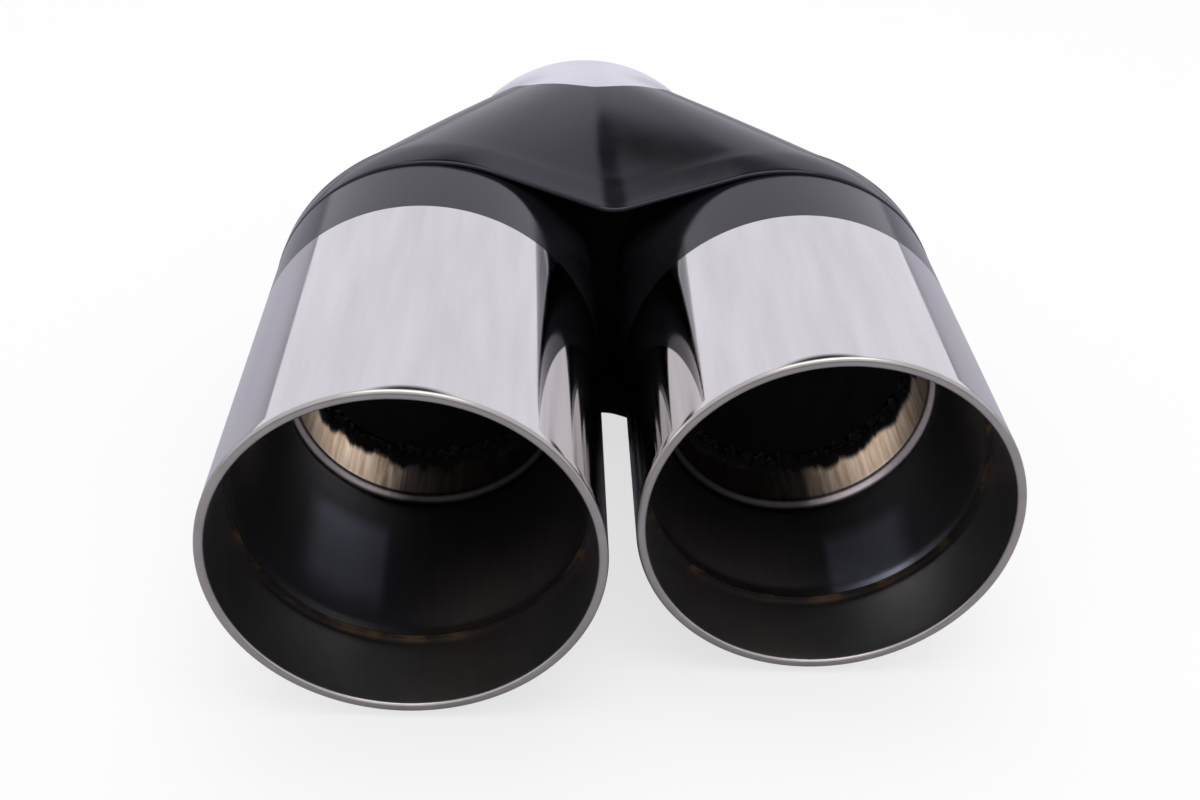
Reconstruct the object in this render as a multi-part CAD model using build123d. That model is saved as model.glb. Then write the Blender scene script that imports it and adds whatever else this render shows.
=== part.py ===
from build123d import *
import os
from math import cos, radians, sin, sqrt, tan

# Twin-outlet exhaust tip in stainless steel, one welded assembly, in millimetres.
# The origin is the centre of the inlet's rear end: +Y leaves the inlet, both outlets face -Y, +Z is up.

# Outlet sleeves: two straight tubes, the left one reaching further out; their mid-line stands beside the inlet's
outlet_od = 76.2
sleeve_wall = 2.0
outlet_gap = 5.8
outlet_shift = 4.2
long_reach = 93.3
stagger = 13.6
rim_round = 0.4

# Y-shaped body, pressed in two halves that are welded along the mid-plane; its collar is dressed down to
# side_wall at the outer sides, and the V-shaped valley between its legs flattens towards the inlet
body_length = 73.6
body_wall = 1.5
side_wall = 0.3
collar_length = 6.7
valley_angle = 18.5
valley_radius = 11.0
leg_bow = 0.1
body_stations = 7

# Inlet socket at the body's rear, made to slide over a pipe
inlet_bore = 70.4
socket_depth = 6.0
crown_half_width = 1.0

# Chevron plate that closes the body's front; the sleeves' mitred ends stand on it
plate_thickness = 1.5
sleeve_lap = 5.2
mitre_angle = 14.0

# Branch pipes that carry the gas through the plate, and the liners' necks around their ends
branch_wall = 1.2
branch_tail = 3.0
slip_gap = 0.1
branch_end_depth = 76.0

# Liners: spun funnels from the sleeve's wall down to the neck
liner_wall = 1.0
liner_set_back = 19.0
liner_seat = 8.0
funnel_drop = 6.1
neck_lip_depth = 59.4
lip_rise = 3.6
lip_run = 6.0
neck_overlap = 5.0
bend_radius = 10.0
throat_radius = 8.0
neck_lip_radius = 3.5

# Weld bead inside each neck, at the branch pipe's front edge
bead_leg = 3.4
bead_height = 2.2
bead_bulge = 0.6

half_spacing = (outlet_od + outlet_gap) / 2
outlet_x = {"left": outlet_shift - half_spacing, "right": outlet_shift + half_spacing}
outlet_r = outlet_od / 2
seat_r = outlet_r - sleeve_wall - liner_wall
neck_r = seat_r - funnel_drop
branch_r = neck_r - slip_gap
half_width = half_spacing + outlet_r
front_r = outlet_r + body_wall
leg_spread = half_spacing - (body_wall - side_wall)
rear_r = inlet_bore / 2 + body_wall
body_front = -body_length
collar_rear = body_front + collar_length
socket_front = -socket_depth
plate_front = body_front + sleeve_lap
plate_run = plate_thickness / cos(radians(mitre_angle))
chevron_depth = half_width * tan(radians(mitre_angle))
long_mouth = body_front - long_reach
branch_front = long_mouth + branch_end_depth
neck_lip = long_mouth + neck_lip_depth
neck_rear = branch_front + neck_overlap


def cross_plane(x, y):
    """Plane across the part with its origin at x and y, its own X along -X and its own Y along +Z."""
    return Plane(origin=(x, y, 0), x_dir=(-1, 0, 0), z_dir=(0, 1, 0))


def body_section(y, inset):
    """Outline of the body at y, drawn inset deep: two round legs, with straight flanks down to a soft valley."""
    t = min(max((y - collar_rear) / (socket_front - collar_rear), 0), 1)
    centre = leg_spread * (1 - t) * (1 + leg_bow * t)
    radius = front_r + (rear_r - front_r) * t - inset
    dip_r = valley_radius + inset
    slope = radians(valley_angle) * (1 - t)
    if t < 1:
        dip_height = (radius + dip_r) / cos(slope) - centre * tan(slope)
        root = dip_height - dip_r
        dip_x, dip_z = dip_r * sin(slope), dip_height - dip_r * cos(slope)
        leg_x, leg_z = centre - radius * sin(slope), radius * cos(slope)
    else:
        root = radius
        dip_x, leg_x = crown_half_width, 2 * crown_half_width
        dip_z, leg_z = sqrt(radius ** 2 - dip_x ** 2), sqrt(radius ** 2 - leg_x ** 2)

    def flank(start, end):
        if t < 1:
            return Line(start, end)
        return ThreePointArc(start, (Vector(*start) + Vector(*end)).normalized() * radius, end)

    with BuildSketch(cross_plane(outlet_shift * (1 - t), y)) as sketch:
        with BuildLine():
            ThreePointArc((leg_x, -leg_z), (centre + radius, 0), (leg_x, leg_z))
            flank((leg_x, leg_z), (dip_x, dip_z))
            ThreePointArc((dip_x, dip_z), (0, root), (-dip_x, dip_z))
            flank((-dip_x, dip_z), (-leg_x, leg_z))
            ThreePointArc((-leg_x, leg_z), (-centre - radius, 0), (-leg_x, -leg_z))
            flank((-leg_x, -leg_z), (-dip_x, -dip_z))
            ThreePointArc((-dip_x, -dip_z), (0, -root), (dip_x, -dip_z))
            flank((dip_x, -dip_z), (leg_x, -leg_z))
        make_face()
    return sketch.sketch.face()


def body_form(inset):
    """Filled form of the body: straight front collar, legs that run together, straight inlet socket."""
    step = (socket_front - collar_rear) / (body_stations - 1)
    stations = [collar_rear + step * i for i in range(body_stations)]
    collar = extrude(body_section(body_front, inset), collar_length)
    legs = loft([body_section(y, inset) for y in stations])
    socket = extrude(body_section(socket_front, inset), socket_depth)
    return collar + legs + socket


def upright_prism(outline):
    """Prism on a plan outline drawn about the outlets' mid-line, tall enough to pass right through the part."""
    return Pos(outlet_shift, 0, 0) * extrude(outline, 2 * front_r, both=True)


def ahead_of_plate(set_back):
    """Everything in front of the chevron plate's front face, moved set_back towards the inlet."""
    edge = plate_front + set_back
    outline = Polyline(
        (-half_width, long_mouth),
        (-half_width, edge),
        (0, edge + chevron_depth),
        (half_width, edge),
        (half_width, long_mouth),
        close=True,
    )
    return upright_prism(make_face(outline))


def bar(radius, y_front, y_rear, x):
    """Round bar along Y."""
    return extrude(cross_plane(x, y_front) * Circle(radius), y_rear - y_front)


def tube(inner_r, outer_r, y_front, y_rear, x):
    """Plain tube along Y."""
    return bar(outer_r, y_front, y_rear, x) - bar(inner_r, y_front, y_rear, x)


def turned(profile_face, x):
    """Solid turned from a profile drawn with the radius along X and the length along Y."""
    return Pos(x, 0, 0) * revolve(profile_face, Axis.Y)


def make_body():
    """The whole pressed shell, opened up where the sleeves' ends stand inside it."""
    shell = body_form(0) - body_form(body_wall)
    for x in outlet_x.values():
        shell -= bar(outlet_r, body_front, 0, x) & ahead_of_plate(0)
    return shell


def make_sleeve(x, mouth):
    """Outlet tube with its mouth cut square, its rim eased and its rear end mitred."""
    sleeve = tube(outlet_r - sleeve_wall, outlet_r, mouth, 0, x) & ahead_of_plate(0)
    rim = sleeve.faces().sort_by(Axis.Y)[0]
    return fillet(rim.edges(), rim_round)


def make_branch(x):
    """Gas pipe from inside the neck to just behind the plate."""
    pipe = tube(branch_r - branch_wall, branch_r, branch_front, 0, x)
    return pipe & ahead_of_plate(plate_run + branch_tail)


def make_liner(x, mouth):
    """Spun funnel: seat against the sleeve, taper, rounded lip, then the neck."""
    front = mouth + liner_set_back
    inner = [
        (seat_r, front),
        (seat_r, front + liner_seat),
        (neck_r + lip_rise, neck_lip - lip_run),
        (neck_r, neck_lip),
        (neck_r, neck_rear),
    ]
    outer = [(r + liner_wall, y) for r, y in inner]
    inner_radii = [bend_radius, throat_radius, neck_lip_radius]
    outer_radii = [bend_radius + liner_wall, throat_radius, neck_lip_radius + liner_wall]
    with BuildSketch() as sketch:
        with BuildLine():
            FilletPolyline(*inner, radius=inner_radii)
            FilletPolyline(*outer, radius=outer_radii)
            Line(inner[0], outer[0])
            Line(inner[-1], outer[-1])
        make_face()
    return turned(sketch.sketch.face(), x)


def make_bead(x):
    """Fillet weld between the branch pipe's end and the neck's wall."""
    toe = (neck_r, branch_front - bead_leg)
    heel = (neck_r, branch_front)
    crown = (neck_r - bead_height, branch_front)
    belly = (neck_r - bead_height / 2 - bead_bulge, branch_front - bead_leg / 2 - bead_bulge)
    with BuildSketch() as sketch:
        with BuildLine():
            Line(toe, heel)
            Line(heel, crown)
            ThreePointArc(crown, belly, toe)
        make_face()
    return turned(sketch.sketch.face(), x)


def make_plate():
    """Folded plate that fills the body's inside behind the sleeves, with a hole for each branch pipe."""
    plate = body_form(body_wall) & (ahead_of_plate(plate_run) - ahead_of_plate(0))
    for x in outlet_x.values():
        plate -= bar(branch_r + slip_gap, body_front, 0, x)
    return plate


parts = {}
for side, mouth in (("left", long_mouth), ("right", long_mouth + stagger)):
    x = outlet_x[side]
    parts[f"{side}_outlet_sleeve"] = make_sleeve(x, mouth)
    parts[f"{side}_liner"] = make_liner(x, mouth)
    parts[f"{side}_neck_weld"] = make_bead(x)
    parts[f"{side}_branch_pipe"] = make_branch(x)
body = make_body()
parts["body_upper_half"] = split(body, bisect_by=Plane.XY, keep=Keep.TOP)
parts["body_lower_half"] = split(body, bisect_by=Plane.XY, keep=Keep.BOTTOM)
parts["front_plate"] = make_plate()

os.makedirs("parts", exist_ok=True)
for name, solid in parts.items():
    export_step(solid, f"parts/{name}.step")
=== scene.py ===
from math import cos, pi, radians, sin, tan

import bpy
from mathutils import Matrix, Vector


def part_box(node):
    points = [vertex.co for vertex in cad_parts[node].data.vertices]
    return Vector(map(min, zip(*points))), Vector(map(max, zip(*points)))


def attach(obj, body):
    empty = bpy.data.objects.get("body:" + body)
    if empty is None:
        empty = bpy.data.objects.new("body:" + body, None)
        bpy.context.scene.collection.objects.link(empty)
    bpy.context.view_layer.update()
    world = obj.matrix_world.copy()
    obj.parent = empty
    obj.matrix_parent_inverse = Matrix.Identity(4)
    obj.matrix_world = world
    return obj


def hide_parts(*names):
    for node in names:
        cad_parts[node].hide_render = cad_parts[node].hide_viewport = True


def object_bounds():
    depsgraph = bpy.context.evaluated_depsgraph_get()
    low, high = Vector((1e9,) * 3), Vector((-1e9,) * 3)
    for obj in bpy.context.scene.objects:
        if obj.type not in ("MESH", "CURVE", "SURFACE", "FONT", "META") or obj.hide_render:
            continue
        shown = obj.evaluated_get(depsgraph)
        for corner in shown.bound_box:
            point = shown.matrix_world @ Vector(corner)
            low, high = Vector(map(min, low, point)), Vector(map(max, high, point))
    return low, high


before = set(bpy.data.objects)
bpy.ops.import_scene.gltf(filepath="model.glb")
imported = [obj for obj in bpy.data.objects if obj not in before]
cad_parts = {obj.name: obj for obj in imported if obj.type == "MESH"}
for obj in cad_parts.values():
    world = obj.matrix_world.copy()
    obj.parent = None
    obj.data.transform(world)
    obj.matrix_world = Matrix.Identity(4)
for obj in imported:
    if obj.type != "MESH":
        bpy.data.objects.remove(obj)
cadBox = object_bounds()
mm = 0.001
print("frame loaded:", len(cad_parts), "CAD nodes")


# sRGB hex to the linear colour that Blender's sockets take
def linear(hexColour):
    channels = [int(hexColour[i:i + 2], 16) / 255 for i in (1, 3, 5)]
    return tuple(c / 12.92 if c <= 0.04045 else ((c + 0.055) / 1.055) ** 2.4 for c in channels) + (1,)


# one node: settings are attributes, inputs are values or (node, socket) links
def addNode(tree, kind, settings=None, inputs=None):
    node = tree.nodes.new(kind)
    for key, value in (settings or {}).items():
        setattr(node, key, value)
    for key, value in (inputs or {}).items():
        if isinstance(value, tuple) and isinstance(value[0], bpy.types.Node):
            tree.links.new(value[0].outputs[value[1]], node.inputs[key])
        else:
            node.inputs[key].default_value = value
    return node


def startMaterial(name):
    material = bpy.data.materials.new(name)
    material.use_nodes = True
    material.node_tree.nodes.clear()
    return material, material.node_tree


# the material's shader and its output; inputs as in addNode
def addShader(tree, inputs):
    shader = addNode(tree, "ShaderNodeBsdfPrincipled", {}, inputs)
    addNode(tree, "ShaderNodeOutputMaterial", {}, {"Surface": (shader, "BSDF")})


# noise on Object coordinates, squeezed so that one cell measures sizeMm = (x, y, z); like the helpers
# after it, up to mixValue, it gives back a link for another node's input
def grainNoise(tree, sizeMm, detail, roughness=0.55):
    place = addNode(tree, "ShaderNodeTexCoord")
    scale = tuple(1 / (s * mm) for s in sizeMm)
    squeeze = addNode(tree, "ShaderNodeMapping", {}, {"Vector": (place, "Object"), "Scale": scale})
    noise = addNode(tree, "ShaderNodeTexNoise", {}, {
        "Vector": (squeeze, "Vector"), "Scale": 1.0, "Detail": detail, "Roughness": roughness})
    return noise, "Fac"


# a noise read as two tones: the dark one up to span[0], the light one from span[1]
def twoTone(tree, noise, dark, light, span):
    ramp = addNode(tree, "ShaderNodeValToRGB", {}, {"Fac": noise})
    for element, place, hexColour in zip(ramp.color_ramp.elements, span, (dark, light)):
        element.position = place
        element.color = linear(hexColour)
    return ramp, "Color"


def addBump(tree, noise, strength, depthMm):
    bump = addNode(tree, "ShaderNodeBump", {}, {
        "Height": noise, "Strength": strength, "Distance": depthMm * mm})
    return bump, "Normal"


def addMath(tree, operation, *values):
    return addNode(tree, "ShaderNodeMath", {"operation": operation}, dict(enumerate(values))), "Value"


# a value carried from one span to another and held at its ends, softly or in a straight line
def mapRange(tree, value, source, target=(0.0, 1.0), soft=False):
    kind = "SMOOTHSTEP" if soft else "LINEAR"
    carried = addNode(tree, "ShaderNodeMapRange", {"interpolation_type": kind}, {
        "Value": value, "From Min": source[0], "From Max": source[1],
        "To Min": target[0], "To Max": target[1]})
    return carried, "Result"


# a Mix node takes colours at sockets 6 and 7 and gives one at 2
def mixColour(tree, share, first, second):
    return addNode(tree, "ShaderNodeMix", {"data_type": "RGBA"}, {0: share, 6: first, 7: second}), 2


# a Mix node takes numbers at sockets 2 and 3 and gives one at 0
def mixValue(tree, share, first, second):
    return addNode(tree, "ShaderNodeMix", {"data_type": "FLOAT"}, {0: share, 2: first, 3: second}), 0


# steel polished to a mirror: white where it sees the studio, with faint drawn streaks along the tube
def makePolishedSteel():
    look = {
        "light": "#dddad8", "dark": "#d1cecc", "span": (0.3, 0.7), "streakMm": (5, 45, 5), "streakDetail": 4,
        "hazeMm": (9, 14, 9), "hazeDetail": 3, "hazeSpan": (0.3, 0.75), "roughness": (0.035, 0.085),
        "bump": 0.02, "bumpMm": 0.05,
    }
    material, tree = startMaterial("stainless_mirror_polished")
    streak = grainNoise(tree, look["streakMm"], look["streakDetail"])
    haze = grainNoise(tree, look["hazeMm"], look["hazeDetail"])
    addShader(tree, {
        "Base Color": twoTone(tree, streak, look["dark"], look["light"], look["span"]),
        "Metallic": 1,
        "Roughness": mapRange(tree, haze, look["hazeSpan"], look["roughness"]),
        "Normal": addBump(tree, streak, look["bump"], look["bumpMm"]),
    })
    return material


# steel without a polish: two tones of one grain and an even, soft sheen
def makeGrainedSteel(name, look):
    material, tree = startMaterial(name)
    grain = grainNoise(tree, look["grainMm"], look["detail"])
    addShader(tree, {
        "Base Color": twoTone(tree, grain, look["dark"], look["light"], look["span"]),
        "Metallic": 1,
        "Roughness": look["roughness"],
    })
    return material


# heat-resistant black coating, sprayed and baked: glossy enough to mirror its surroundings, hazy in places
def makeDarkCoating():
    look = {
        "base": "#121115", "worn": "#1a191d", "span": (0.35, 0.75),
        "blotchMm": (14, 14, 14), "blotchDetail": 5, "glossSpan": (0.3, 0.75), "gloss": (0.1, 0.2),
        "ior": 1.4, "sheen": "#f1edfb",
        "peelMm": (0.9, 0.9, 0.9), "peelDetail": 2, "bump": 0.05, "bumpMm": 0.1,
    }
    material, tree = startMaterial("coating_black_baked")
    blotch = grainNoise(tree, look["blotchMm"], look["blotchDetail"])
    peel = grainNoise(tree, look["peelMm"], look["peelDetail"])
    addShader(tree, {
        "Base Color": twoTone(tree, blotch, look["base"], look["worn"], look["span"]),
        "Roughness": mapRange(tree, blotch, look["glossSpan"], look["gloss"]),
        "Normal": addBump(tree, peel, look["bump"], look["bumpMm"]),
        "IOR": look["ior"],
        "Specular Tint": linear(look["sheen"]),
    })
    return material


# spun stainless liner, a dull mirror: heat tint in each neck, painted lighter straw and gold on its outer
# side as a painted pool of light and darker brown in the rest of it as painted shade, black licks of soot
# from the weld, a painted highlight towards the outer side of the lip with painted shade on its inner side,
# and a pale, bluish painted reflection on the funnel
def makeLinerSteel(lipY, beadY, midX, axisReach):
    look = {
        # straw and gold: the neck's heat tint painted lighter, a painted pool of light on its outer side;
        # brown and umber: the same tint in painted shade
        "cool": "#98969b", "sooty": "#908e93", "straw": "#e6d2bb", "gold": "#b0906c", "brown": "#6a5f56",
        "umber": "#453d36", "span": (0.3, 0.65),
        "streakMm": (1.6, 26, 1.6), "streakDetail": 5, "streakRough": 0.65,
        "litTintFromMm": 10.0, "litTintFullMm": 17.0, "neckRunMm": (-1.0, 1.5),
        # pale: the colour of a painted reflection on the funnel, with its reach across and its run along the
        # outlet
        "pale": "#e6eaff", "paintedReflectionReachMm": (7.0, 9.5, 21.0, 26.0), "paintedReflectionRunMm": (-38.0, -27.0, -14.0, -8.0),
        # lip tones: painted shade on the lip's inner side, a painted highlight towards its outer side
        "lipPaintedShade": "#302f2e", "lipPaintedHighlight": "#d6d0ce", "lipReachMm": (3.0, 20.0), "lipRunMm": (-3.2, -1.6),
        "soot": "#0d0c0c", "lickMm": (3.2, 60, 3.2), "lickDetail": 3, "lickRough": 0.6, "lickReachMm": 10.0,
        "lickSpan": (1.12, 1.36), "roughness": (0.3, 0.45), "bump": 0.1, "bumpMm": 0.1,
    }
    material, tree = startMaterial("stainless_spun_heat_tint_and_painted_light")
    streak = grainNoise(tree, look["streakMm"], look["streakDetail"], look["streakRough"])
    lick = grainNoise(tree, look["lickMm"], look["lickDetail"], look["lickRough"])
    place = addNode(tree, "ShaderNodeTexCoord")
    parts = addNode(tree, "ShaderNodeSeparateXYZ", {}, {"Vector": (place, "Object")})
    along = parts, "Y"
    reach = addMath(tree, "ABSOLUTE", addMath(tree, "SUBTRACT", (parts, "X"), midX))

    def streaked(dark, light):
        return twoTone(tree, streak, look[dark], look[light], look["span"])

    # 0 at one place and 1 at the other, both counted from the outlet's axis towards the outer side
    def byReach(startMm, endMm):
        return mapRange(tree, reach, (axisReach + startMm * mm, axisReach + endMm * mm), soft=True)

    # the same along the outlet, counted from the neck's lip towards the inlet
    def byRun(startMm, endMm, soft=False):
        return mapRange(tree, along, (lipY + startMm * mm, lipY + endMm * mm), soft=soft)

    # the outer side of each neck takes the lit tones, a painted pool of light; the rest of the neck takes the
    # tones in painted shade
    litTintFrom, litTintFull = look["litTintFromMm"] * mm, look["litTintFullMm"] * mm
    raggedReach = addMath(tree, "MULTIPLY_ADD", streak, litTintFrom, reach)
    paintedLitSide = mapRange(tree, raggedReach, (axisReach + litTintFrom, axisReach + litTintFull))
    neck = mixColour(tree, paintedLitSide, streaked("umber", "brown"), streaked("gold", "straw"))

    # a pale, bluish painted reflection of light on the funnel, fixed in place on the part
    innerEdge, innerFull, outerFull, outerEdge = look["paintedReflectionReachMm"]
    frontEdge, frontFull, rearFull, rearEdge = look["paintedReflectionRunMm"]
    paintedReflectionAcross = addMath(tree, "MULTIPLY", byReach(innerEdge, innerFull), byReach(outerEdge, outerFull))
    paintedReflectionAlong = addMath(
        tree, "MULTIPLY", byRun(rearEdge, rearFull, soft=True), byRun(frontEdge, frontFull, soft=True))
    paintedReflectionPatch = addMath(tree, "MULTIPLY", paintedReflectionAcross, paintedReflectionAlong)
    funnel = mixColour(tree, paintedReflectionPatch, streaked("sooty", "cool"), linear(look["pale"]))

    # the lip's shoulder: painted shade on its inner side, a painted highlight towards the outer side
    lip = mixColour(tree, byReach(*look["lipReachMm"]), linear(look["lipPaintedShade"]), linear(look["lipPaintedHighlight"]))
    shoulder = mixColour(tree, byRun(*look["lipRunMm"]), funnel, lip)
    inNeck = byRun(*look["neckRunMm"])
    clean = mixColour(tree, inNeck, shoulder, neck)

    nearBead = mapRange(tree, along, (beadY - look["lickReachMm"] * mm, beadY))
    burnt = mapRange(tree, addMath(tree, "ADD", nearBead, lick), look["lickSpan"])
    dull = mapRange(tree, inNeck, (0.0, 1.0), look["roughness"])
    addShader(tree, {
        "Base Color": mixColour(tree, burnt, clean, linear(look["soot"])),
        "Metallic": addMath(tree, "SUBTRACT", 1.0, burnt),
        "Roughness": addMath(tree, "MAXIMUM", dull, burnt),
        "Normal": addBump(tree, streak, look["bump"], look["bumpMm"]),
    })
    return material


# weld metal with scale on it: rough and grey-black, paler on the crests
def makeWeldMetal():
    look = {
        "scale": "#121111", "crest": "#3b393b", "span": (0.45, 0.75), "grainMm": (0.8, 0.8, 0.8), "detail": 5,
        "grainRough": 0.7, "metallic": 0.3, "roughness": 0.8, "specular": 0.2, "bump": 0.8, "bumpMm": 0.4,
    }
    material, tree = startMaterial("weld_bead_scaled")
    grain = grainNoise(tree, look["grainMm"], look["detail"], look["grainRough"])
    addShader(tree, {
        "Base Color": twoTone(tree, grain, look["scale"], look["crest"], look["span"]),
        "Metallic": look["metallic"],
        "Roughness": look["roughness"],
        "Specular IOR Level": look["specular"],
        "Normal": addBump(tree, grain, look["bump"], look["bumpMm"]),
    })
    return material


# mill-finish steel of the pipes behind the necks and of the body's inside, black with soot
def makeSootyPipe():
    look = {
        "soot": "#0b0a0a", "bare": "#181615", "span": (0.4, 0.75), "blotchMm": (5, 9, 5), "detail": 5,
        "roughness": 1.0, "specular": 0.1,
    }
    material, tree = startMaterial("steel_mill_sooty")
    blotch = grainNoise(tree, look["blotchMm"], look["detail"])
    addShader(tree, {
        "Base Color": twoTone(tree, blotch, look["soot"], look["bare"], look["span"]),
        "Roughness": look["roughness"],
        "Specular IOR Level": look["specular"],
    })
    return material


def placeObject(name, data):
    thing = bpy.data.objects.new(name, data)
    bpy.context.scene.collection.objects.link(thing)
    return thing


# a closed skin over rings of points: each row of faces runs from its own ring to the next, the last one
# back to the first
def skinRings(name, rings, materials, rowMaterials, sharpDeg=35):
    count = len(rings[0])
    faces, slots = [], []
    for i, material in enumerate(rowMaterials):
        k = (i + 1) % len(rings)
        for j in range(count):
            m = (j + 1) % count
            faces.append((i * count + j, i * count + m, k * count + m, k * count + j))
        slots += [materials.index(material)] * count
    mesh = bpy.data.meshes.new(name)
    mesh.from_pydata([point for ring in rings for point in ring], [], faces)
    for material in materials:
        mesh.materials.append(material)
    mesh.polygons.foreach_set("material_index", slots)
    mesh.polygons.foreach_set("use_smooth", [True] * len(faces))
    mesh.set_sharp_from_angle(angle=radians(sharpDeg))
    mesh.update()
    return placeObject(name, mesh)


# corners of a path rounded by arcs
def roundedPath(points, radii, steps=8):
    path = [Vector(points[0])]
    for before, corner, after, radius in zip(points, points[1:], points[2:], radii):
        corner = Vector(corner)
        inDir = (Vector(before) - corner).normalized()
        outDir = (Vector(after) - corner).normalized()
        half = inDir.angle(outDir) / 2
        reach = radius / tan(half)
        centre = corner + (inDir + outDir).normalized() * (radius / sin(half))
        start = corner + inDir * reach - centre
        end = corner + outDir * reach - centre
        turn = start.angle(end)
        for i in range(steps + 1):
            share = i / steps
            a, b = sin((1 - share) * turn) / sin(turn), sin(share * turn) / sin(turn)
            path.append(centre + start * a + end * b)
    path.append(Vector(points[-1]))
    return path


# points of one ring round an outlet's axis; yAt turns a place across the part into the ring's y
def ringAt(axisX, radius, yAt, count):
    ring = []
    for j in range(count):
        angle = 2 * pi * j / count
        x = axisX + radius * cos(angle)
        ring.append((x, yAt(x), radius * sin(angle)))
    return ring


# yAt of a ring that stands square to the axis
def squareAt(y):
    return lambda x: y


polishedSteel = makePolishedSteel()
darkCoating = makeDarkCoating()
weldMetal = makeWeldMetal()
sootyPipe = makeSootyPipe()
# bare end of the inlet, masked off from the coating: pale brushed steel, its lines across the pipe
bareSteel = makeGrainedSteel("stainless_brushed_bare", {
    "light": "#e9e7ec", "dark": "#dcdae0", "span": (0.3, 0.7), "grainMm": (9, 0.6, 9), "detail": 4,
    "roughness": 0.32,
})
# inside of the tubes, belt-ground once and since dulled by soot: a dark, soft sheen
sootedSatin = makeGrainedSteel("stainless_satin_sooted", {
    "light": "#989694", "dark": "#838180", "span": (0.3, 0.7), "grainMm": (16, 22, 16), "detail": 4,
    "roughness": 0.36,
})
# the cut end of the tube, ground, eased and buffed to a soft satin
rimSteel = makeGrainedSteel("stainless_ground_rim", {
    "light": "#b9b5ae", "dark": "#aeaaa2", "span": (0.3, 0.7), "grainMm": (6, 6, 6), "detail": 4,
    "roughness": 0.3,
})
# cut edge of the liner: grey, with gold-brown dashes on it as a painted reflection of the gold-lit neck
edgeGoldReflection = makeGrainedSteel("stainless_edge_gold_reflection", {
    "light": "#6e5840", "dark": "#3f3b38", "span": (0.5, 0.62), "grainMm": (6, 6, 6), "detail": 2,
    "roughness": 0.4,
})
print("materials made")

# outlet sleeves: polished in front, coated behind, sooted satin inside
sleeveShape = {
    "wallMm": 2.0, "rimRoundMm": 0.8, "rimSteps": 5, "rimGuardMm": 2.4, "insideRingMm": 30.0,
    "coatEdgeMm": -94.8, "coatGuardMm": 0.2, "mitreDeg": 14.0, "plateLapMm": 5.2, "steps": 288,
}
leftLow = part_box("left_outlet_sleeve")[0]
rightLow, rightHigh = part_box("right_outlet_sleeve")
outletShift = (leftLow.x + rightHigh.x) / 2
halfWidth = (rightHigh.x - leftLow.x) / 2
outletR = (rightHigh.x - rightLow.x) / 2
halfSpacing = halfWidth - outletR
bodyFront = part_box("body_upper_half")[0].y
plateFront = bodyFront + sleeveShape["plateLapMm"] * mm


# y of the sleeves' mitred rear ends over a place across the part
def mitreY(x):
    return plateFront + (halfWidth - abs(x - outletShift)) * tan(radians(sleeveShape["mitreDeg"]))


def makeSleeve(side):
    low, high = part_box(side + "_outlet_sleeve")
    axisX, outerR, mouth = (low.x + high.x) / 2, (high.x - low.x) / 2, low.y
    innerR = outerR - sleeveShape["wallMm"] * mm
    ease = sleeveShape["rimRoundMm"] * mm
    rimGuard = squareAt(mouth + sleeveShape["rimGuardMm"] * mm)
    insideRing = squareAt(mouth + sleeveShape["insideRingMm"] * mm)
    coatEdge, coatGuard = sleeveShape["coatEdgeMm"] * mm, sleeveShape["coatGuardMm"] * mm
    turns = [pi / 2 * i / sleeveShape["rimSteps"] for i in range(sleeveShape["rimSteps"] + 1)]

    # each ring's radius and y, with the material of the faces from it to the next
    profile = [(outerR, yAt, darkCoating) for yAt in (mitreY, squareAt(coatEdge + coatGuard))]
    profile += [(outerR, squareAt(y), polishedSteel) for y in (coatEdge, coatEdge - coatGuard)]
    profile += [(outerR, rimGuard, polishedSteel)]
    for a in turns:
        profile.append((outerR - ease * (1 - cos(a)), squareAt(mouth + ease * (1 - sin(a))), rimSteel))
    for a in turns:
        skin = rimSteel if a < turns[-2] else sootedSatin
        profile.append((innerR + ease * (1 - sin(a)), squareAt(mouth + ease * (1 - cos(a))), skin))
    profile += [(innerR, yAt, sootedSatin) for yAt in (rimGuard, insideRing, mitreY)]

    rings = [ringAt(axisX, radius, yAt, sleeveShape["steps"]) for radius, yAt, skin in profile]
    materials = [polishedSteel, darkCoating, sootedSatin, rimSteel]
    piece = skinRings(side + "_sleeve_skin", rings, materials, [skin for radius, yAt, skin in profile])
    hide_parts(side + "_outlet_sleeve")
    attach(piece, "root")


for side in ("left", "right"):
    makeSleeve(side)
print("sleeves made")

# liners: spun funnels, a painted gold reflection on their front edge
linerShape = {
    "wallMm": 1.0, "seatMm": 2.5, "lipRiseMm": 1.5, "lipRunMm": 1.25, "lipDepthMm": 59.4,
    "bendMm": 10.0, "throatMm": 1.6, "lipMm": 1.3, "edgeMm": 0.25, "steps": 192,
}
neckLip = leftLow.y + linerShape["lipDepthMm"] * mm
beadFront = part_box("left_neck_weld")[0].y
linerSteel = makeLinerSteel(neckLip, beadFront, outletShift, halfSpacing)


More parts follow.
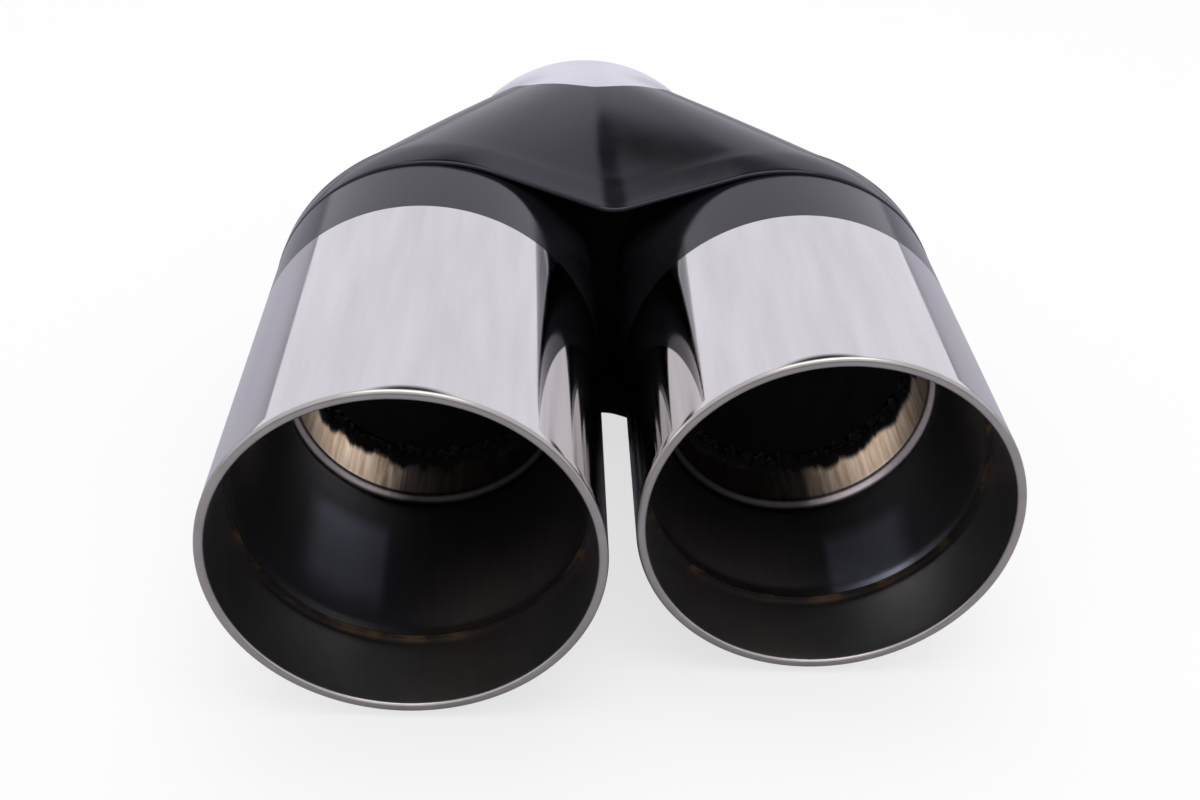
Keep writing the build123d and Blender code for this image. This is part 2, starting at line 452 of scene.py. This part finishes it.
def makeLiner(side):
    low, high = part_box(side + "_liner")
    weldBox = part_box(side + "_neck_weld")
    axisX = (low.x + high.x) / 2
    wall = linerShape["wallMm"] * mm
    seatR = (high.x - low.x) / 2 - wall
    neckR = (weldBox[1].x - weldBox[0].x) / 2
    corners = [
        (seatR, low.y),
        (seatR, low.y + linerShape["seatMm"] * mm),
        (neckR + linerShape["lipRiseMm"] * mm, neckLip - linerShape["lipRunMm"] * mm),
        (neckR, neckLip),
        (neckR, high.y),
    ]
    radii = [linerShape["bendMm"] * mm, linerShape["throatMm"] * mm, linerShape["lipMm"] * mm]
    inner = [tuple(p) for p in roundedPath(corners, radii)]
    inner.insert(1, (seatR, low.y + linerShape["edgeMm"] * mm))
    outer = [(r + wall, y) for r, y in reversed(inner)]
    rings = [ringAt(axisX, r, squareAt(y), linerShape["steps"]) for r, y in outer + inner]
    edgeRows = (len(outer) - 1, len(outer))
    # the rows of the front edge take the painted gold reflection
    rowMaterials = [edgeGoldReflection if i in edgeRows else linerSteel for i in range(len(rings))]
    piece = skinRings(side + "_liner_skin", rings, [linerSteel, edgeGoldReflection], rowMaterials)
    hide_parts(side + "_liner")
    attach(piece, "root")


# branch pipes: from inside the necks to just behind the plate
branchShape = {"wallMm": 1.2, "plateMm": 1.5, "tailMm": 3.0, "steps": 192}


def makeBranch(side):
    low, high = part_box(side + "_branch_pipe")
    axisX, outerR, front = (low.x + high.x) / 2, (high.x - low.x) / 2, squareAt(low.y)
    innerR = outerR - branchShape["wallMm"] * mm
    plateRun = branchShape["plateMm"] * mm / cos(radians(sleeveShape["mitreDeg"]))

    def tail(x):
        return mitreY(x) + (plateRun + branchShape["tailMm"] * mm)

    profile = [(outerR, tail), (outerR, front), (innerR, front), (innerR, tail)]
    rings = [ringAt(axisX, r, yAt, branchShape["steps"]) for r, yAt in profile]
    piece = skinRings(side + "_branch_skin", rings, [sootyPipe], [sootyPipe] * len(rings))
    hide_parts(side + "_branch_pipe")
    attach(piece, "root")


# bead: lumps of weld metal laid round the neck, each a little different, then roughened all over
beadShape = {
    "lumps": 120, "lumpMm": 1.1, "lumpRounds": 2, "seatShare": 0.55, "spread": 0.5, "wobbleMm": 0.6,
    "seed": 7, "raggedMm": 2.4, "ragScaleMm": 1.1, "ragDetail": 2.0, "noiseMiddle": 0.5,
}


def beadTree():
    tree = bpy.data.node_groups.new("neckBead", "GeometryNodeTree")
    sockets = {
        "Ring Radius": "NodeSocketFloat", "Lumps": "NodeSocketInt", "Lump Radius": "NodeSocketFloat",
        "Centre": "NodeSocketVector", "Seed": "NodeSocketInt", "Wobble": "NodeSocketFloat",
    }
    for name, kind in sockets.items():
        tree.interface.new_socket(name, in_out="INPUT", socket_type=kind)
    tree.interface.new_socket("Geometry", in_out="OUTPUT", socket_type="NodeSocketGeometry")
    entry = addNode(tree, "NodeGroupInput")

    def randomVector(low, high):
        return addNode(tree, "FunctionNodeRandomValue", {"data_type": "FLOAT_VECTOR"}, {
            0: (low,) * 3, 1: (high,) * 3, "Seed": (entry, "Seed")})

    circle = addNode(tree, "GeometryNodeCurvePrimitiveCircle", {}, {
        "Radius": (entry, "Ring Radius"), "Resolution": (entry, "Lumps")})
    points = addNode(tree, "GeometryNodeCurveToPoints", {"mode": "EVALUATED"}, {"Curve": (circle, "Curve")})
    shift = addNode(tree, "ShaderNodeVectorMath", {"operation": "SCALE"}, {
        0: (randomVector(-1, 1), 0), "Scale": (entry, "Wobble")})
    moved = addNode(tree, "GeometryNodeSetPosition", {}, {
        "Geometry": (points, "Points"), "Offset": (shift, "Vector")})
    lump = addNode(tree, "GeometryNodeMeshIcoSphere", {}, {
        "Radius": (entry, "Lump Radius"), "Subdivisions": beadShape["lumpRounds"]})
    size = randomVector(1 - beadShape["spread"], 1 + beadShape["spread"])
    laid = addNode(tree, "GeometryNodeInstanceOnPoints", {}, {
        "Points": (moved, "Geometry"), "Instance": (lump, "Mesh"), "Scale": (size, 0)})
    real = addNode(tree, "GeometryNodeRealizeInstances", {}, {"Geometry": (laid, "Instances")})
    where = addNode(tree, "GeometryNodeInputPosition")
    rag = addNode(tree, "ShaderNodeTexNoise", {}, {
        "Vector": (where, "Position"), "Scale": 1 / (beadShape["ragScaleMm"] * mm),
        "Detail": beadShape["ragDetail"]})
    about = addNode(tree, "ShaderNodeVectorMath", {"operation": "SUBTRACT"}, {
        0: (rag, "Color"), 1: (beadShape["noiseMiddle"],) * 3})
    push = addNode(tree, "ShaderNodeVectorMath", {"operation": "SCALE"}, {
        0: (about, "Vector"), "Scale": beadShape["raggedMm"] * mm})
    ragged = addNode(tree, "GeometryNodeSetPosition", {}, {
        "Geometry": (real, "Geometry"), "Offset": (push, "Vector")})
    turned = addNode(tree, "GeometryNodeTransform", {}, {
        "Geometry": (ragged, "Geometry"), "Translation": (entry, "Centre"), "Rotation": (pi / 2, 0, 0)})
    smooth = addNode(tree, "GeometryNodeSetShadeSmooth", {}, {"Geometry": (turned, "Geometry")})
    coat = addNode(tree, "GeometryNodeSetMaterial", {}, {
        "Geometry": (smooth, "Geometry"), "Material": weldMetal})
    addNode(tree, "NodeGroupOutput", {}, {"Geometry": (coat, "Geometry")})
    return tree


def setInput(modifier, tree, name, value):
    for item in tree.interface.items_tree:
        if item.in_out == "INPUT" and item.name == name:
            modifier[item.identifier] = value


def makeBead(side, tree, seed):
    low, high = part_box(side + "_neck_weld")
    holder = placeObject(side + "_bead_maker", bpy.data.meshes.new(side + "_bead_maker"))
    modifier = holder.modifiers.new("bead", "NODES")
    modifier.node_group = tree
    lump = beadShape["lumpMm"] * mm
    setInput(modifier, tree, "Ring Radius", (high.x - low.x) / 2 - lump * beadShape["seatShare"])
    setInput(modifier, tree, "Lumps", beadShape["lumps"])
    setInput(modifier, tree, "Lump Radius", lump)
    setInput(modifier, tree, "Centre", ((low.x + high.x) / 2, (low.y + high.y) / 2, 0.0))
    setInput(modifier, tree, "Seed", seed)
    setInput(modifier, tree, "Wobble", beadShape["wobbleMm"] * mm)
    bpy.context.view_layer.update()
    evaluated = holder.evaluated_get(bpy.context.evaluated_depsgraph_get())
    piece = placeObject(side + "_bead", bpy.data.meshes.new_from_object(evaluated))
    bpy.data.objects.remove(holder)
    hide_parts(side + "_neck_weld")
    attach(piece, "root")


neckBead = beadTree()
for number, side in enumerate(("left", "right")):
    makeLiner(side)
    makeBranch(side)
    makeBead(side, neckBead, beadShape["seed"] + number)
print("liners, branch pipes and beads made")

# Y-shaped body: one skin over both pressed halves, its front edge crowned and eased
bodyShape = {
    "wallMm": 1.5, "sideWallMm": 0.3, "collarMm": 6.7, "socketMm": 6.0, "inletBoreMm": 70.4,
    "valleyDeg": 18.5, "valleyMm": 11.0, "legBow": 0.1, "blendMm": 6.0,
    "crownRunMm": 9.0, "crownDropMm": 0.8, "crownPower": 1.4, "sideShare": 0.2, "topShare": 0.6,
    "lipRoundMm": 0.6, "lipSteps": 6,
    "bareEndMm": 19.5, "bareLeastMm": 7.0, "bareFlatMm": 13.0, "bareHalfMm": 25.0,
    "quarter": 96, "rows": 90, "bareRows": 14,
}
bodyWall = bodyShape["wallMm"] * mm
frontR = outletR + bodyWall
rearR = bodyShape["inletBoreMm"] / 2 * mm + bodyWall
legSpread = halfSpacing - bodyWall + bodyShape["sideWallMm"] * mm
collarRear = bodyFront + bodyShape["collarMm"] * mm
socketFront = -bodyShape["socketMm"] * mm


# how far along its legs the body is at y: 0 at the collar, 1 at the socket, eased into both
def legShare(y):
    soft, whole = bodyShape["blendMm"] * mm, socketFront - collarRear
    run = min(max(y - collarRear, -soft), whole + soft)
    if run < soft:
        run = (run + soft) ** 2 / (4 * soft)
    elif run > whole - soft:
        run = whole - (whole + soft - run) ** 2 / (4 * soft)
    return run / whole


# point on the quarter outline at y: share 0 is the outer side, share 1 the bottom of the valley
def outlinePoint(share, y, inset):
    t = legShare(y)
    slope = radians(bodyShape["valleyDeg"]) * (1 - t)
    centre = legSpread * (1 - t) * (1 + bodyShape["legBow"] * t)
    radius = frontR + (rearR - frontR) * t - inset
    dip = bodyShape["valleyMm"] * mm + inset
    legX, legZ = centre - radius * sin(slope), radius * cos(slope)
    legRun = radius * (pi / 2 + slope)
    flankRun = (legX - dip * sin(slope)) / cos(slope)
    dipRun = dip * slope
    run = share * (legRun + flankRun + dipRun)
    if run < legRun:
        return centre + radius * cos(run / radius), radius * sin(run / radius)
    run -= legRun
    if run <= flankRun:
        return legX - run * cos(slope), legZ - run * sin(slope)
    angle = max(slope - (run - flankRun) / dip, 0)
    dipHeight = (radius + dip) / cos(slope) - centre * tan(slope)
    return dip * sin(angle), dipHeight - dip * cos(angle)


# the same point on one side of the part, the right side for 1 and the left for -1
def bodyPoint(share, side, y, inset):
    x, z = outlinePoint(share, y, inset)
    return outletShift * (1 - legShare(y)) + side * x, y, z


# how far the collar falls away towards its front edge, less at the outer sides, where it is dressed thin
def crownDrop(share, y):
    run = bodyShape["crownRunMm"] * mm
    near = max(1 - (y - bodyFront) / run, 0)
    rise = min(share / bodyShape["topShare"], 1)
    full = bodyShape["sideShare"] + (1 - bodyShape["sideShare"]) * rise
    return bodyShape["crownDropMm"] * mm * full * near ** bodyShape["crownPower"]


# y of the coating's masked rear edge over a place across the inlet
def coatEdgeY(x):
    flat, half = bodyShape["bareFlatMm"] * mm, bodyShape["bareHalfMm"] * mm
    out = min(max((abs(x) - flat) / (half - flat), 0), 1)
    deep, least = bodyShape["bareEndMm"] * mm, bodyShape["bareLeastMm"] * mm
    return -deep + (deep - least) * out * out * (3 - 2 * out)


def makeBody():
    quarter, rows = bodyShape["quarter"], bodyShape["rows"]
    bareRows, lipSteps = bodyShape["bareRows"], bodyShape["lipSteps"]
    ease = bodyShape["lipRoundMm"] * mm
    columns = [(j / quarter, 1) for j in range(quarter + 1)]
    columns += [(j / quarter, -1) for j in reversed(range(quarter))]
    rowShares = [i / rows for i in range(1, rows + 1)]

    # one column of points: outside from the inlet to the lip, round the lip, then back along the inside
    def columnPoints(share, side):
        edge = coatEdgeY(bodyPoint(share, side, socketFront, 0)[0])
        outside = [edge * i / bareRows for i in range(bareRows + 1)]
        outside += [edge + (bodyFront + ease - edge) * s for s in rowShares]
        line = [(y, crownDrop(share, y)) for y in outside]
        for i in range(1, lipSteps + 1):
            a = pi / 2 * i / lipSteps
            y = bodyFront + ease * (1 - sin(a))
            line.append((y, min(ease * (1 - cos(a)) + crownDrop(share, y), bodyWall)))
        line.append((bodyFront, bodyWall))
        line += [(bodyFront * (1 - s), bodyWall) for s in rowShares]
        return [bodyPoint(share, side, y, inset) for y, inset in line]

    rings = []
    for topHalf in zip(*(columnPoints(share, side) for share, side in columns)):
        rings.append(list(topHalf) + [(x, y, -z) for x, y, z in reversed(topHalf[1:-1])])
    rowMaterials = [bareSteel] * bareRows + [darkCoating] * (rows + lipSteps + 1) + [sootyPipe] * (rows + 1)
    piece = skinRings("body_skin", rings, [darkCoating, bareSteel, sootyPipe], rowMaterials)
    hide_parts("body_upper_half", "body_lower_half")
    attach(piece, "root")


makeBody()
# the plate keeps its CAD form and takes the body's coat
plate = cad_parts["front_plate"]
plate.data.materials.clear()
plate.data.materials.append(darkCoating)
print("body made")

# studio in metres: pale table, white surroundings, dim behind the camera and high up behind the object
studio = {
    "floorSide": 6.0, "floorColour": "#f4f4f4", "tableColour": "#b6b4c1", "floorGlow": 0.7, "floorRough": 0.9,
    "roomColour": "#6a686d", "roomHalf": 2.0, "roomNear": 1.6, "roomTop": 0.45, "roomRough": 1.0,
    "skyLight": 0.75, "glossTint": (0.92, 0.905, 1.0, 1.0), "white": (1, 1, 1, 1),
    "gloomDeg": 45.5, "gloomWide": 0.6, "gloomSpan": (0.1, 0.23), "gloomLight": (0.05, 1.0),
    "lampSide": 1.2, "lampPlace": (0, -0.1, 1.4), "lampPower": 9.0,
    "inletSide": 0.045, "inletPlace": (0.006, -0.002, 0.0), "inletPower": 0.012,
}
floorZ = cadBox[0][2]


def makeSheet(name, corners, material):
    mesh = bpy.data.meshes.new(name)
    mesh.from_pydata(corners, [], [(0, 1, 2, 3)])
    mesh.materials.append(material)
    return placeObject(name, mesh)


# the table glows to the camera, which sees it white with the object's shadow; reflections meet it greyer
def makeFloor():
    material, tree = startMaterial("table_pale")
    path = addNode(tree, "ShaderNodeLightPath")
    seen = path, "Is Camera Ray"
    colour = mixColour(
        tree, (path, "Is Glossy Ray"), linear(studio["floorColour"]), linear(studio["tableColour"]))
    keep = mapRange(tree, seen, (0.0, 1.0), (1.0, 1.0 - studio["floorGlow"]))
    shade = addNode(tree, "ShaderNodeVectorMath", {"operation": "SCALE"}, {0: colour, "Scale": keep})
    addShader(tree, {
        "Base Color": (shade, "Vector"),
        "Emission Strength": addMath(tree, "MULTIPLY", seen, studio["floorGlow"]),
        "Emission Color": studio["white"],
        "Roughness": studio["floorRough"],
        "Specular IOR Level": 0.0,
    })
    half = studio["floorSide"] / 2
    corners = [(-half, -half, floorZ), (half, -half, floorZ), (half, half, floorZ), (-half, half, floorZ)]
    floor = makeSheet("floor", corners, material)


# unlit wall of the room behind the camera, seen only in reflections
def makeRoom():
    material, tree = startMaterial("curtain_dim")
    addShader(tree, {"Base Color": linear(studio["roomColour"]), "Roughness": studio["roomRough"]})
    near, half, top = -studio["roomNear"], studio["roomHalf"], studio["roomTop"]
    corners = [(-half, near, floorZ), (half, near, floorZ), (half, near, top), (-half, near, top)]
    wall = makeSheet("wall_behind_camera", corners, material)
    wall.visible_camera = False
    wall.visible_diffuse = False
    wall.visible_shadow = False


def makeLamp(name, side, power, place, turn):
    lamp = bpy.data.lights.new(name, "AREA")
    lamp.shape = "SQUARE"
    lamp.size = side
    lamp.energy = power
    holder = placeObject(name, lamp)
    holder.location = place
    holder.rotation_euler = turn
    holder.visible_camera = False


# white world; glossy rays also meet the unlit ceiling high up behind the object, soft at its edges
def makeLight():
    world = bpy.data.worlds.new("studio")
    bpy.context.scene.world = world
    world.use_nodes = True
    tree = world.node_tree
    tree.nodes.clear()
    path = addNode(tree, "ShaderNodeLightPath")
    glossy = path, "Is Glossy Ray"
    sight = addNode(tree, "ShaderNodeTexCoord")
    lean = radians(studio["gloomDeg"])
    squeeze = addNode(tree, "ShaderNodeVectorMath", {"operation": "MULTIPLY"}, {
        0: (sight, "Generated"), 1: (studio["gloomWide"], 1, 1)})
    gap = addNode(tree, "ShaderNodeVectorMath", {"operation": "DISTANCE"}, {
        0: (squeeze, "Vector"), 1: (0, cos(lean), sin(lean))})
    gloom = mapRange(tree, (gap, "Value"), studio["gloomSpan"], studio["gloomLight"], soft=True)
    lit = mixValue(tree, glossy, studio["skyLight"], gloom)
    clear = addMath(tree, "MAXIMUM", (path, "Is Camera Ray"), (path, "Is Transmission Ray"))
    background = addNode(tree, "ShaderNodeBackground", {}, {
        "Color": mixColour(tree, glossy, studio["white"], studio["glossTint"]),
        "Strength": mixValue(tree, clear, lit, 1.0)})
    addNode(tree, "ShaderNodeOutputWorld", {}, {"Surface": (background, "Background")})
    makeLamp("overhead", studio["lampSide"], studio["lampPower"], studio["lampPlace"], (0, 0, 0))
    makeLamp("inside_inlet", studio["inletSide"], studio["inletPower"], studio["inletPlace"], (-pi / 2, 0, 0))


def makeCamera():
    view = {
        "placeMm": (-13.5, -370.4, 170.9), "lensMm": 42.75, "sensorMm": 36.0, "clipStartMm": 10.0,
        "right": (0.9987, -0.0293, 0.0418), "down": (0.0188, -0.5500, -0.8350),
        "ahead": (0.0475, 0.8347, -0.5487),
    }
    camera = bpy.data.cameras.new("camera")
    camera.lens = view["lensMm"]
    camera.sensor_width = view["sensorMm"]
    camera.clip_start = view["clipStartMm"] * mm
    holder = placeObject("camera", camera)
    right, down, ahead = (Vector(view[k]).normalized() for k in ("right", "down", "ahead"))
    turn = Matrix((right, -down, -ahead)).transposed().to_4x4()
    holder.matrix_world = Matrix.Translation([p * mm for p in view["placeMm"]]) @ turn
    bpy.context.scene.camera = holder


makeFloor()
makeRoom()
makeLight()
makeCamera()
bpy.context.scene.view_settings.view_transform = "Standard"
print("studio made")
